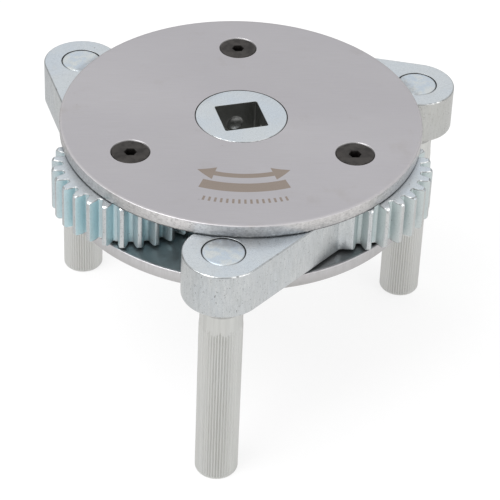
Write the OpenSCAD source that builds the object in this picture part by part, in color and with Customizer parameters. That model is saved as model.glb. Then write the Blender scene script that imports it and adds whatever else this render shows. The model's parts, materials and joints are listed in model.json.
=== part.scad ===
// Gear-driven oil filter wrench with three swinging legs.
// A square-drive gear in the middle turns three toothed arms; a leg
// hangs from the end of each arm and grips the filter's rim.
// Millimetres. +Z is up and the legs point down. The origin is the centre
// of the drive socket, in the upper face of the top plate. +Y points to
// the rear pivot.

/* [Plates] */
// Diameter of both round plates
plate_d = 106; // [100:0.5:106]
// Thickness of each plate
plate_t = 3.8; // [3.6:0.1:4.5]
// Gap between the two plates
plate_gap = 14.6; // [13.8:0.1:16.8]
// How far in the rolled upper edge of a plate reaches
edge_roll = 1; // [0.4:0.1:1.5]
// How far down the rolled upper edge of a plate reaches
edge_drop = 0.3; // [0.1:0.05:0.5]

/* [Drive gear] */
// Width of the square socket across its flats
square_af = 12.9; // [12.75:0.05:13.1]
// Diameter of the hub that shows in both plates
hub_d = 27; // [25:0.5:27.5]
// Angle from a tooth's centre line to a socket wall
square_turn = -38.1; // [-45:0.1:45]
// Width of the dimples that catch the driver's ball
dimple_d = 4.7; // [4:0.1:5]

/* [Gears] */
// Gear module, the pitch diameter per tooth
gear_m = 1.5; // [1.45:0.01:1.5]
// Teeth on the drive gear
sun_teeth = 20; // [19:1:21]
// Teeth that a full circle of an arm's gear would hold
arm_teeth = 28; // [27:1:29]
// Smallest angle from an arm's centre line to a tooth gap
blank_half = 43; // [41:0.5:45]

/* [Arms] */
// Distance from an arm's pivot to its leg
arm_len = 55.72; // [55:0.02:58]
// Width of the arm's bar, and of the round end over the leg
arm_w = 22.8; // [21:0.2:23]
// Chamfer round the arm's edges
arm_edge = 0.4; // [0.3:0.1:0.8]
// Diameter of the circle that the three legs stand on
leg_circle = 118.6; // [118.4:0.1:184]

/* [Legs] */
// Diameter of the smooth upper part of a leg
neck_d = 12.1; // [11.5:0.1:12.2]
// Diameter over the knurled part of a leg
knurl_d = 12.4; // [12.2:0.1:12.8]
// Grooves round a leg
knurl_n = 48; // [36:1:60]
// Depth of the knurled grooves
knurl_h = 0.26; // [0.15:0.01:0.4]
// Smooth length under the arm
neck_len = 9.5; // [6:0.1:12]
// Length of a leg, from the arm's upper face to the leg's tip
leg_len = 77.7; // [60:0.1:100]

/* [Pivots and screws] */
// Diameter of the pillars that the arms turn on
pillar_d = 12; // [11:0.1:12.5]
// Thickness of the washers under the arms and under the drive gear
washer_t = 0.7; // [0.5:0.1:1]
// Free height over the arms and the drive gear
play_top = 0.15; // [0.1:0.05:0.5]
// Outer diameter of the washers under the arms
washer_d = 18.5; // [16:0.5:20]
// Head diameter of the countersunk screws
screw_head_d = 10.8; // [10:0.1:11.2]
// Shank diameter of the screws
screw_d = 5; // [4.5:0.1:5.2]
// Overall length of a screw
screw_len = 10; // [8:0.5:10.5]
// Width of the hexagon socket across its flats
hex_af = 3; // [2.5:0.1:3.5]

/* [Hidden] */

$fn = 96;
over = 1;                               // how far cutters overshoot a face

// Heights. The arms and the gear's teeth lie just over their washers.
play_low = 0.05;
z_top = -plate_t;                       // underside of the top plate
z_low = z_top - plate_gap;              // upper face of the bottom plate
z_bottom = z_low - plate_t;             // underside of the bottom plate
arm_hi = z_top - play_top;              // upper face of the arms
arm_lo = z_low + washer_t + play_low;   // lower face of the arms
arm_t = arm_hi - arm_lo;
leg_tip = arm_hi - leg_len;

// Where the three pivots stand, as angles about the drive gear.
REAR = 90;
LEFT = 210;
RIGHT = 330;

// Pivot circle. The centres are two thirds of a module further apart than
// the pitch circles, and the drive gear's teeth are shifted out to fill it.
both_teeth = sun_teeth + arm_teeth;
pivot_r = gear_m * (both_teeth / 2 + 2 / 3);
press = 20;                             // pressure angle at the pitch circle
press_work = acos(base_r(both_teeth) / pivot_r);  // at the working centres
backlash = 0.12;                        // tooth shift given up, as a length
// Tooth shifts are in modules.
sun_shift = (inv(press_work) - inv(press)) * PI / 180
            * both_teeth / (2 * tan(press)) - backlash / gear_m;
arm_shift = 0;

// Angle at a pivot from the line to the centre round to the arm, which puts
// the leg on the leg circle.
swing = acos((pow(pivot_r, 2) + pow(arm_len, 2) - pow(leg_circle / 2, 2))
             / (2 * pivot_r * arm_len));
// The right-hand arm has a tooth on its own centre line, which sets how the
// drive gear stands; the other arms' teeth follow from the drive gear.
sun_turn = RIGHT + (0.5 - swing * arm_teeth / 360) * 360 / sun_teeth;

// ---- gear teeth ----

flank_steps = 7;        // straight pieces along a tooth flank
tooth_thin = 0.05;      // taken off the width of each tooth
tip_over = 0.3;         // outline past the tips, trimmed by a disc
tooth_edge = 0.6;       // chamfer on the tips' upper and lower edges
flank_rise = 0.12;      // least height of a flank's foot over the root
corner_rise = 0.04;     // height of the root's outer points
corner_share = 0.72;    // their place, as a share of the gap's half width
floor_share = 0.3;      // half the flat root, as the same share

function deg(radians) = radians * 180 / PI;
function inv(angle) = deg(tan(angle)) - angle;  // involute, in degrees
function polar(r, angle) = [r * cos(angle), r * sin(angle)];

function base_r(teeth) = gear_m * teeth / 2 * cos(press);
function root_r(teeth, shift) = gear_m * (teeth / 2 - 1.25 + shift);
function tip_r(teeth, shift) = gear_m * (teeth / 2 + 1 + shift);

// Half the angle that a tooth takes up at radius r.
function tooth_half(r, teeth, shift) =
    let (base = base_r(teeth),
         width = gear_m * (PI / 2 + 2 * shift * tan(press)) - tooth_thin)
    deg(width / (gear_m * teeth)) + inv(press)
    - inv(acos(min(1, base / max(r, base))));

// Half a gap between teeth, from the root out past the tip.
// Each entry is [radius, angle from the gap's centre line].
function half_gap(teeth, shift) =
    let (half_pitch = 180 / teeth,
         root = root_r(teeth, shift),
         end = tip_r(teeth, shift) + tip_over,
         foot = max(base_r(teeth), root + flank_rise),
         foot_half = half_pitch - tooth_half(foot, teeth, shift))
    concat(
        [[root, foot_half * floor_share],
         [root + corner_rise, foot_half * corner_share]],
        [for (i = [0 : flank_steps])
            let (r = foot + (end - foot) * i / flank_steps)
            [r, half_pitch - tooth_half(r, teeth, shift)]]);

// Outline of the gaps numbered first to last, with a tooth centred on
// angle phase and gap 0 just after it.
function gaps(phase, first, last, teeth, shift) =
    let (half = half_gap(teeth, shift))
    [for (k = [first : last])
        let (mid = phase + (k + 0.5) * 360 / teeth)
        each concat(
            [for (i = [len(half) - 1 : -1 : 0])
                polar(half[i][0], mid - half[i][1])],
            [for (p = half) polar(p[0], mid + p[1])])];

// A toothed outline given the arms' thickness and chamfered at the tips.
module toothed_body(outline, tip) {
    intersection() {
        translate([0, 0, arm_lo])
            linear_extrude(height = arm_t)
                polygon(outline);
        chamfered_disc(tip, arm_lo, arm_hi, tooth_edge);
    }
}

// ---- shared shapes ----

// A round disc with both edges chamfered.
module chamfered_disc(r, z0, z1, chamfer) {
    rotate_extrude()
        polygon([[0, z0], [r - chamfer, z0], [r, z0 + chamfer],
                 [r, z1 - chamfer], [r - chamfer, z1], [0, z1]]);
}

// Cutter for a bore with a chamfer at each mouth.
module chamfered_bore(r, z0, z1, chamfer) {
    wide = r + chamfer + over;
    rotate_extrude()
        polygon([[0, z0 - over], [wide, z0 - over], [r, z0 + chamfer],
                 [r, z1 - chamfer], [wide, z1 + over], [0, z1 + over]]);
}

// A washer on the bottom plate, with its outer edges rounded and its inner
// edges chamfered.
module washer(inner_r, outer_r) {
    edge = 0.1;
    steps = 2;
    z1 = z_low + washer_t;
    rotate_extrude()
        polygon(concat(
            [[inner_r + edge, z_low]],
            [for (i = [0 : steps])
                let (t = -90 + 90 * i / steps)
                [outer_r - edge, z_low + edge] + polar(edge, t)],
            [for (i = [0 : steps])
                let (t = 90 * i / steps)
                [outer_r - edge, z1 - edge] + polar(edge, t)],
            [[inner_r + edge, z1], [inner_r, z1 - edge],
             [inner_r, z_low + edge]]));
}

// Puts the children at a pivot, with +X pointing away from the centre.
module at_pivot(place) {
    rotate([0, 0, place]) translate([pivot_r, 0, 0]) children();
}

// Puts the children at a pivot, with +X pointing along the arm.
module along_arm(place) {
    at_pivot(place) rotate([0, 0, 180 + swing]) children();
}

// ---- plates ----

hub_hole_r = hub_d / 2 + 0.08;
sink_r = screw_head_d / 2 + 0.4;        // countersink at the plate's face
clear_r = screw_d / 2 + 0.25;           // screw's clearance hole

// Profile of a plate: a rolled upper edge, as a punched blank has, a nearly
// sharp lower edge, and a hole with its edges just broken.
function plate_profile(z0) =
    let (outer_r = plate_d / 2,
         z1 = z0 + plate_t,
         hole_edge = 0.1,
         low_edge = 0.15,
         steps = 6)
    concat(
        [[hub_hole_r + hole_edge, z0], [outer_r - low_edge, z0],
         [outer_r, z0 + low_edge]],
        [for (i = [0 : steps])
            let (t = 90 * i / steps)
            [outer_r - edge_roll + edge_roll * cos(t),
             z1 - edge_drop + edge_drop * sin(t)]],
        [[hub_hole_r + hole_edge, z1], [hub_hole_r, z1 - hole_edge],
         [hub_hole_r, z0 + hole_edge]]);

// Cutter for a 45 degree countersunk hole. Its mouth is at z = 0 and faces
// up for face = 1, down for face = -1.
module screw_hole(face) {
    mirror([0, 0, face > 0 ? 0 : 1])
        rotate_extrude()
            polygon([[0, -plate_t - over], [clear_r, -plate_t - over],
                     [clear_r, clear_r - sink_r],
                     [sink_r + over, over], [0, over]]);
}

module plate(z0, face) {
    difference() {
        rotate_extrude($fn = 180)
            polygon(plate_profile(z0));
        for (place = [REAR, LEFT, RIGHT])
            at_pivot(place)
                translate([0, 0, face > 0 ? z0 + plate_t : z0])
                    screw_hole(face);
    }
}

module top_plate() {
    color([0.70, 0.69, 0.70]) plate(z_top, 1);
}

module bottom_plate() {
    color([0.66, 0.65, 0.66]) plate(z_bottom, -1);
}

// ---- drive gear ----

hub_lo = z_bottom + 0.2;                // lower face of the hub
hub_edge = 0.3;
socket_corner = 0.6;                    // radius of the socket's corners
lead_in = 0.2;                          // square bar that cuts the lead-in
dimple_z = -6.9;
dimple_deep = 1;

// A square with slightly rounded corners.
function square_points(w, r) = [
    for (q = [0 : 3], i = [0 : 3])
        polar((w / 2 - r) * sqrt(2), 45 + 90 * q)
        + polar(r, 90 * q + 90 * i / 3)];

module drive_socket() {
    dimple_r = (pow(dimple_d / 2, 2) + pow(dimple_deep, 2))
               / (2 * dimple_deep);
    translate([0, 0, z_bottom - over])
        linear_extrude(height = -z_bottom + 2 * over)
            polygon(square_points(square_af, socket_corner));
    // lead-in chamfers, top and bottom
    for (q = [0 : 3], z = [0, hub_lo])
        rotate([0, 0, 90 * q])
            translate([square_af / 2, 0, z])
                rotate([0, 45, 0])
                    cube([lead_in, square_af, lead_in], center = true);
    // a dimple in each wall
    for (q = [0 : 3])
        rotate([0, 0, 90 * q])
            translate([square_af / 2 + dimple_deep - dimple_r, 0, dimple_z])
                sphere(r = dimple_r);
}

module drive_gear() {
    color([0.74, 0.77, 0.80])
    difference() {
        union() {
            chamfered_disc(hub_d / 2, hub_lo, 0, hub_edge);
            rotate([0, 0, sun_turn])
                toothed_body(gaps(0, 0, sun_teeth - 1, sun_teeth, sun_shift),
                             tip_r(sun_teeth, sun_shift));
        }
        rotate([0, 0, sun_turn + square_turn])
            drive_socket();
    }
}

module drive_washer() {
    color([0.62, 0.62, 0.63])
        washer(hub_d / 2 + 0.15, hub_d / 2 + 3);
}

// ---- pivots ----

module pivot_pillar(place) {
    edge = 0.3;
    color([0.60, 0.60, 0.61])
    at_pivot(place)
        difference() {
            chamfered_disc(pillar_d / 2, z_low, z_top, edge);
            chamfered_bore(screw_d / 2, z_low, z_top, edge);
        }
}

module thrust_washer(place) {
    color([0.62, 0.62, 0.63])
    at_pivot(place)
        washer(pillar_d / 2 + 0.08, washer_d / 2);
}

// ---- screws ----

// A countersunk socket screw whose head lies just under z = 0.
module screw() {
    head_z = -0.12;                      // top of the head
    cone_r = sink_r - 0.03;              // head's cone, carried up to z = 0
    head_r = screw_head_d / 2;
    head_edge = 0.05;
    shank_r = screw_d / 2 - 0.02;
    tip_z = head_z - screw_len;
    tip_edge = 0.6;                      // how far up and in the tip is cut
    hex_deep = 2.2;
    drill_r = hex_af / 2 * 0.94;
    mouth_r = hex_af / 2 * 1.04;
    mouth_deep = 0.3;
    color([0.12, 0.11, 0.11])
    difference() {
        rotate_extrude()
            polygon([[0, tip_z], [screw_d / 2 - tip_edge, tip_z],
                     [shank_r, tip_z + tip_edge], [shank_r, shank_r - cone_r],
                     [head_r, head_r - cone_r], [head_r, head_z - head_edge],
                     [head_r - head_edge, head_z], [0, head_z]]);
        // hexagon socket with a drill point
        translate([0, 0, head_z - hex_deep])
            cylinder(d = hex_af / cos(30), h = 3, $fn = 6);
        rotate_extrude()
            polygon([[0, head_z - 2.9], [drill_r, head_z - 2.15],
                     [drill_r, head_z - 2], [0, head_z - 2]]);
        // chamfer round the socket's mouth
        rotate_extrude()
            polygon([[0, head_z - mouth_deep], [mouth_r, head_z - mouth_deep],
                     [mouth_r + mouth_deep + over, head_z + over],
                     [0, head_z + over]]);
    }
}

module top_screw(place) {
    at_pivot(place) screw();
}

module bottom_screw(place) {
    at_pivot(place) translate([0, 0, z_bottom]) mirror([0, 0, 1]) screw();
}

// ---- arms ----

// Angle from an arm's centre line to one of its teeth, which makes it mesh
// with the drive gear.
function arm_phase(place) =
    (0.5 - (sun_turn - place) * sun_teeth / 360) * 360 / arm_teeth - swing;

// Outline of the toothed end, about the pivot, with the arm along +X. The
// side that carries the bar is closed by an arc outside the tips.
function sector_points(phase) =
    let (pitch = 360 / arm_teeth,
         first = ceil((blank_half - phase) / pitch - 0.5),
         last = floor((360 - blank_half - phase) / pitch - 0.5),
         arc_r = tip_r(arm_teeth, arm_shift) + 1,
         arc_start = phase + (last + 1) * pitch - 360,
         arc_end = phase + first * pitch,
         steps = 8)
    concat(
        gaps(phase, first, last, arm_teeth, arm_shift),
        [for (i = [0 : steps])
            polar(arc_r, arc_start + (arc_end - arc_start) * i / steps)]);

// The straight bar, with its four long edges chamfered.
module arm_bar() {
    w = arm_w / 2;
    h = arm_t / 2;
    c = arm_edge;
    translate([0, 0, (arm_lo + arm_hi) / 2])
        rotate([90, 0, 90])
            linear_extrude(height = arm_len)
                polygon([[-w + c, -h], [w - c, -h], [w, -h + c], [w, h - c],
                         [w - c, h], [-w + c, h], [-w, h - c], [-w, -h + c]]);
}

module arm(place) {
    color([0.75, 0.78, 0.81])
    along_arm(place)
        difference() {
            union() {
                toothed_body(sector_points(arm_phase(place)),
                             tip_r(arm_teeth, arm_shift));
                arm_bar();
                translate([arm_len, 0, 0])
                    chamfered_disc(arm_w / 2, arm_lo, arm_hi, arm_edge);
            }
            chamfered_bore(pillar_d / 2 + 0.06, arm_lo, arm_hi, 0.4);
            translate([arm_len, 0, 0])
                chamfered_bore(neck_d / 2, arm_lo, arm_hi, 0.18);
        }
}

// ---- legs ----

// One crest and valley of the straight knurl:
// [share of the knurl's pitch, share of the groove's depth].
knurl_shape = [[0, 0], [0.42, 0], [0.66, 1], [0.76, 1]];

function knurl_points() = [
    for (k = [0 : knurl_n - 1], p = knurl_shape)
        polar(knurl_d / 2 - knurl_h * p[1], 360 / knurl_n * (k + p[0]))];

module leg(place) {
    knurl_top = arm_lo - neck_len;
    neck_r = neck_d / 2;
    inset = 1;                          // core and neck end inside the knurl
    color([0.72, 0.70, 0.68])
    along_arm(place)
        translate([arm_len, 0, 0])
            union() {
                // core, neck and chamfered top
                rotate_extrude()
                    polygon([[0, leg_tip + inset],
                             [neck_r - inset, leg_tip + inset],
                             [neck_r - inset, knurl_top - inset],
                             [neck_r, knurl_top - inset],
                             [neck_r, arm_hi - 0.5],
                             [neck_r - 0.6, arm_hi], [0, arm_hi]]);
                // knurled part, chamfered at both ends
                intersection() {
                    translate([0, 0, leg_tip])
                        linear_extrude(height = knurl_top - leg_tip)
                            polygon(knurl_points());
                    chamfered_disc(knurl_d / 2 + 0.02, leg_tip, knurl_top,
                                   0.6);
                }
            }
}

top_plate();
bottom_plate();
drive_gear();
drive_washer();
pivot_pillar(REAR);  // pivot_pillar_rear
pivot_pillar(LEFT);  // pivot_pillar_left
pivot_pillar(RIGHT);  // pivot_pillar_right
thrust_washer(REAR);  // thrust_washer_rear
thrust_washer(LEFT);  // thrust_washer_left
thrust_washer(RIGHT);  // thrust_washer_right
top_screw(REAR);  // top_screw_rear
top_screw(LEFT);  // top_screw_left
top_screw(RIGHT);  // top_screw_right
bottom_screw(REAR);  // bottom_screw_rear
bottom_screw(LEFT);  // bottom_screw_left
bottom_screw(RIGHT);  // bottom_screw_right
arm(REAR);  // arm_rear
arm(LEFT);  // arm_left
arm(RIGHT);  // arm_right
leg(REAR);  // leg_rear
leg(LEFT);  // leg_left
leg(RIGHT);  // leg_right
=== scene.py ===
"""Looks for the geared three-leg oil filter wrench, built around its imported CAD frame."""
import json
import math

import bpy
import numpy as np
from mathutils import Matrix, Vector
from mathutils.geometry import tessellate_polygon


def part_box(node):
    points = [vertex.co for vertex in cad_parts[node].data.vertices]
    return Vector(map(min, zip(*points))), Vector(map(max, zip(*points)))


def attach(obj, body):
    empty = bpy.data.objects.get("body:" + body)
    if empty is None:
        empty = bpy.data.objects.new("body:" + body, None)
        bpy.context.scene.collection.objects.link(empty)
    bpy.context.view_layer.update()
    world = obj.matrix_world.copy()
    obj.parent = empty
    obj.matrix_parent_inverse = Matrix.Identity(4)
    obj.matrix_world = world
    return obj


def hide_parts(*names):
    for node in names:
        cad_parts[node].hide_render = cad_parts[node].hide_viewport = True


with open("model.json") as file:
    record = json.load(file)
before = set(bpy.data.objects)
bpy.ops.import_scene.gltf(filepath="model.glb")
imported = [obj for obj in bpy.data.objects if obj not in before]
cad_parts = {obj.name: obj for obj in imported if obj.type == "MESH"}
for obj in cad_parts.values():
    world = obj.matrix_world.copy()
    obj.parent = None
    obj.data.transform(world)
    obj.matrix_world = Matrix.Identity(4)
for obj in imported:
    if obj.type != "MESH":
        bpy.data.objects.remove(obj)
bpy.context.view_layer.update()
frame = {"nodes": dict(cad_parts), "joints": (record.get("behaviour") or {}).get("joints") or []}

MM = 0.001
STATIONS = ("rear", "left", "right")


# ---------------------------------------------------------------- frame data

def centre(node):
    lo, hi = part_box(node)
    return (lo + hi) / 2 / MM


def span(node, axis):
    lo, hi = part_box(node)
    return lo[axis] / MM, hi[axis] / MM


JOINTS = {j["name"]: j for j in frame["joints"]}
PIVOT = {s: Vector(JOINTS["swing_" + s]["pos_m"]) / MM for s in STATIONS}
LEG = {s: centre("leg_" + s) for s in STATIONS}
PLATE_LO, PLATE_HI = span("top_plate", 2)
BASE_LO, BASE_HI = span("bottom_plate", 2)
PLATE_R = (span("top_plate", 0)[1] - span("top_plate", 0)[0]) / 2
PLATE_R = round(PLATE_R * 2) / 2 if abs(PLATE_R - round(PLATE_R * 2) / 2) < 0.2 else PLATE_R
ARM_LO, ARM_HI = span("arm_rear", 2)
LEG_LO, LEG_HI = span("leg_rear", 2)
DRIVE_LO, DRIVE_HI = span("drive_gear", 2)
PIVOT_R = PIVOT["rear"].xy.length
ARM_LEN = sum((LEG[s].xy - PIVOT[s].xy).length for s in STATIONS) / 3

MODULE, Z_SUN, Z_ARM, PRESS = 1.5, 20, 28, math.radians(20)
HUB_R, HUB_HOLE = 13.5, 13.58
SQUARE = 12.9
SCREW_HEAD, SINK_R, CLEAR_R = 5.4, 5.8, 2.75
ARM_W = 11.4
PIN_R = 6.05
KNURL_R, NECK_LEN = 6.2, 9.5


def inv(a):
    return math.tan(a) - a


SWING = math.degrees(math.acos((PIVOT_R ** 2 + ARM_LEN ** 2 - (sum(LEG[s].xy.length for s in STATIONS) / 3) ** 2)
                               / (2 * PIVOT_R * ARM_LEN)))
SUN_TURN = 330 + (0.5 - SWING * Z_ARM / 360) * 360 / Z_SUN
_aw = math.acos(MODULE * (Z_SUN + Z_ARM) / 2 * math.cos(PRESS) / PIVOT_R)
SHIFT = (inv(_aw) - inv(PRESS)) * (Z_SUN + Z_ARM) / (2 * math.tan(PRESS)) - 0.08
SUN_ROOT, SUN_TIP = MODULE * (Z_SUN / 2 - 1.25 + SHIFT), MODULE * (Z_SUN / 2 + 1 + SHIFT)
ARM_ROOT, ARM_TIP = MODULE * (Z_ARM / 2 - 1.25), MODULE * (Z_ARM / 2 + 1)
PIVOT_ANGLE = {"rear": 90.0, "left": 210.0, "right": 330.0}


def arm_phase(s):
    a = PIVOT_ANGLE[s]
    p = (0.5 - (SUN_TURN - a) * Z_SUN / 360) * 360 / Z_ARM - SWING
    return p % (360 / Z_ARM)


# ---------------------------------------------------------------- mesh tools

def inward(d, c, p=2.0):
    """How far an edge is cut back at depth d under a face, for an edge of size c: p 1 is a chamfer, 2 is round."""
    d = min(max(d, 0.0), c)
    return c - c * (1 - ((c - d) / c) ** p) ** (1 / p) if c > 0 else 0.0


def circle(r, n, cx=0.0, cy=0.0, start=0.0):
    t = start + 2 * np.pi * np.arange(n) / n
    return np.stack([cx + r * np.cos(t), cy + r * np.sin(t)], 1)


class Shell:
    """A closed mesh put together from loops of rings. Ring 0 of every loop lies in the top cap."""

    def __init__(self):
        self.v, self.f = [], []
        self.attr = {}
        self.count = 0

    def ring(self, xy, z, **attrs):
        n = len(xy)
        zz = np.full((n, 1), z) if np.isscalar(z) else np.asarray(z, float).reshape(-1, 1)
        self.v.append(np.hstack([np.asarray(xy, float), zz]))
        ids = np.arange(self.count, self.count + n)
        for k, val in attrs.items():
            self.attr.setdefault(k, []).append((ids, np.broadcast_to(val, (n,))))
        self.count += n
        return ids

    def bridge(self, a, b):
        n = len(a)
        a2, b2 = np.roll(a, -1), np.roll(b, -1)
        self.f.extend(np.stack([a, a2, b2, b], 1).tolist())

    def loop(self, rings):
        for a, b in zip(rings, rings[1:]):
            self.bridge(a, b)
        return rings

    def points(self):
        return np.vstack(self.v)

    def cap(self, *rings):
        pts = self.points()
        polys = [[Vector(pts[i]) for i in r] for r in rings]
        flat = np.concatenate([np.asarray(r) for r in rings])
        for t in tessellate_polygon(polys):
            self.f.append([int(flat[i]) for i in t])

    def fan(self, ring, xyz, **attrs):
        self.v.append(np.asarray([xyz], float))
        c = self.count
        for k, val in attrs.items():
            self.attr.setdefault(k, []).append((np.array([c]), np.array([val], float)))
        self.count += 1
        n = len(ring)
        for i in range(n):
            self.f.append([int(ring[i]), int(ring[(i + 1) % n]), c])

    def build(self, name, matrix=None, sharp=32.0):
        import bmesh
        mesh = bpy.data.meshes.new(name)
        pts = self.points() * MM
        mesh.from_pydata(pts.tolist(), [], self.f)
        for k, parts in self.attr.items():
            a = mesh.attributes.new(k, "FLOAT", "POINT")
            vals = np.zeros(len(pts), np.float32)
            for ids, val in parts:
                vals[ids] = val
            a.data.foreach_set("value", vals)
        bm = bmesh.new()
        bm.from_mesh(mesh)
        bmesh.ops.remove_doubles(bm, verts=bm.verts, dist=1e-8)
        bmesh.ops.dissolve_degenerate(bm, dist=1e-8, edges=bm.edges)
        bmesh.ops.recalc_face_normals(bm, faces=bm.faces)
        bad = sum(1 for e in bm.edges if not e.is_manifold)
        if bad:
            print("OPEN MESH", name, bad)
        bm.to_mesh(mesh)
        bm.free()
        if matrix is not None:
            mesh.transform(matrix)
        mesh.polygons.foreach_set("use_smooth", [True] * len(mesh.polygons))
        mesh.set_sharp_from_angle(angle=math.radians(sharp))
        ob = bpy.data.objects.new(name, mesh)
        bpy.context.scene.collection.objects.link(ob)
        w = ob.modifiers.new("normals", "WEIGHTED_NORMAL")
        w.keep_sharp = True
        w.weight = 90
        return ob


DEPTHS = [0.0, 0.012, 0.04, 0.09, 0.16, 0.25, 0.36, 0.48, 0.6, 0.72]


# ---------------------------------------------------------------- plates

def plate_shell(name, lo, hi, face_up):
    """A round plate with a hub hole and three countersunk screw holes. Built face up, and turned over if needed."""
    t = hi - lo
    s = Shell()
    n = 320
    # rolled upper edge, plain side, nearly sharp lower edge: inset, depth, painted edge highlight, how far down the
    # side
    prof = []
    for deg in (90, 76, 63, 51, 40, 30, 20, 10, 0):
        a = math.radians(deg)
        prof.append((1 - math.cos(a), 0.3 - 0.3 * math.sin(a), 0.6 if 15 < deg < 70 else 0.0, 0.0 if deg > 15 else 0.12))
    for k in (0.2, 0.4, 0.6, 0.8):
        prof.append((0.0, 0.3 + k * (t - 0.45), 0.0, 0.12 + 0.88 * k))
    if face_up:
        prof.append((0.0, t - 0.42, 0.0, 1.0))
    prof += [(0.0, t - 0.3, 0.1, 1.0), (0.0, t - 0.15, 0.3, 1.0), (0.03, t - 0.05, 1.0, 1.0), (0.15, t, 0.4, 1.0), (0.4, t, 0.0, 0.0)]
    outer = []
    for x, d, e, k in (prof if face_up else [(x, t - d, e, k) for x, d, e, k in reversed(prof)]):
        # the top plate's lowest side rings carry a painted shadow line in place of the edge highlight
        painted_shadow_line = 1.0 if face_up and d > t - 0.35 and x < 0.3 else 0.0
        outer.append(s.ring(circle(PLATE_R - x, n), -d, edge=e * (1 - painted_shadow_line), rim=k, gap=painted_shadow_line))
    s.loop(outer)
    hub = []
    for r, z, e in ((HUB_HOLE + 0.10, 0, 0), (HUB_HOLE + 0.05, -0.015, 1), (HUB_HOLE + 0.01, -0.05, .8), (HUB_HOLE, -0.12, .0),
                    (HUB_HOLE, -t + 0.12, 0), (HUB_HOLE + 0.01, -t + 0.05, .8), (HUB_HOLE + 0.05, -t + 0.015, 1), (HUB_HOLE + 0.10, -t, 0)):
        hub.append(s.ring(circle(r, 160), z, edge=0.0, rim=0.0, sink=1.0 if -t + 0.01 < z < -0.01 else 0.0))
    s.loop(hub)
    tops, bots = [outer[0], hub[0]], [outer[-1], hub[-1]]
    for st in STATIONS:
        cx, cy = PIVOT[st].x, PIVOT[st].y
        rs = []
        deep = SINK_R - CLEAR_R
        for r, z, e in ((SINK_R + 0.06, 0, 0), (SINK_R + 0.02, -0.01, 1), (SINK_R - 0.03, -0.045, .6), (SINK_R - 0.12, -0.12, .1),
                        (CLEAR_R + 0.6, -(deep - 0.6), 0), (CLEAR_R, -deep, 0),
                        (CLEAR_R, -t + 0.2, 0), (CLEAR_R + 0.2, -t, 0)):
            rs.append(s.ring(circle(r, 96, cx, cy if face_up else -cy), z, edge=e, rim=0.0, sink=1.0 if -t + 0.1 < z < -0.05 else 0.0))
        s.loop(rs)
        tops.append(rs[0])
        bots.append(rs[-1])
    s.cap(*tops)
    s.cap(*bots)
    if face_up:
        m = Matrix.Translation((0, 0, hi * MM))
    else:
        m = Matrix.Translation((0, 0, lo * MM)) @ Matrix.Rotation(math.pi, 4, "X")
    return s.build(name, m)


# ---------------------------------------------------------------- gears

def tooth_half(r, z, x, thin):
    rb = MODULE * z / 2 * math.cos(PRESS)
    s = MODULE * (math.pi / 2 + 2 * x * math.tan(PRESS)) - thin
    return s / (MODULE * z) + inv(PRESS) - inv(math.acos(min(1.0, rb / max(r, rb))))


def gap_outline(a, z, x, thin, root, tip, corner=0.13, flank=10):
    """Polar points of one gap between two teeth, from the middle of one tip to the middle of the next, plus a mark of how deep each lies."""
    p = math.pi / z
    rb = MODULE * z / 2 * math.cos(PRESS)
    lo = max(rb, root + 0.22)
    w = p - tooth_half(lo, z, x, thin)
    half_tip = tooth_half(tip, z, x, thin)
    c = min(corner, half_tip * tip * 0.6)
    side = []
    side.append((tip, -p + half_tip * 0.0, 0.0))
    side.append((tip, -p + max(half_tip - c / tip, 0.0005), 0.0))
    side.append((tip - c * 0.3, -p + tooth_half(tip - c * 0.3, z, x, thin) - 0.28 * c / tip, 0.05))
    top = tip - c
    for i in range(flank, -1, -1):
        r = lo + (top - lo) * i / flank
        side.append((r, -p + tooth_half(r, z, x, thin), 1.0 - 0.45 * abs(i / flank - 0.35)))
    for k in (0.93, 0.78, 0.55, 0.28):
        f = math.sqrt(max(0.0, 1 - ((k - 0.28) / 0.72) ** 2)) if k > 0.28 else 1.0
        side.append((lo + (root - lo) * min(1.0, 0.25 + 0.75 * f), -w * k, 0.9))
    other = [(r, -t, m) for r, t, m in reversed(side[1:])]
    pts = side + other
    return [(r, a + t, m) for r, t, m in pts]


def sun_outline(root, tip, thin):
    pts = []
    for k in range(Z_SUN):
        pts += gap_outline(2 * math.pi * (k + 0.5) / Z_SUN, Z_SUN, SHIFT, thin, root, tip)
    r, t, m = np.array(pts).T
    return np.stack([r * np.cos(t), r * np.sin(t)], 1), m, r, t


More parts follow.
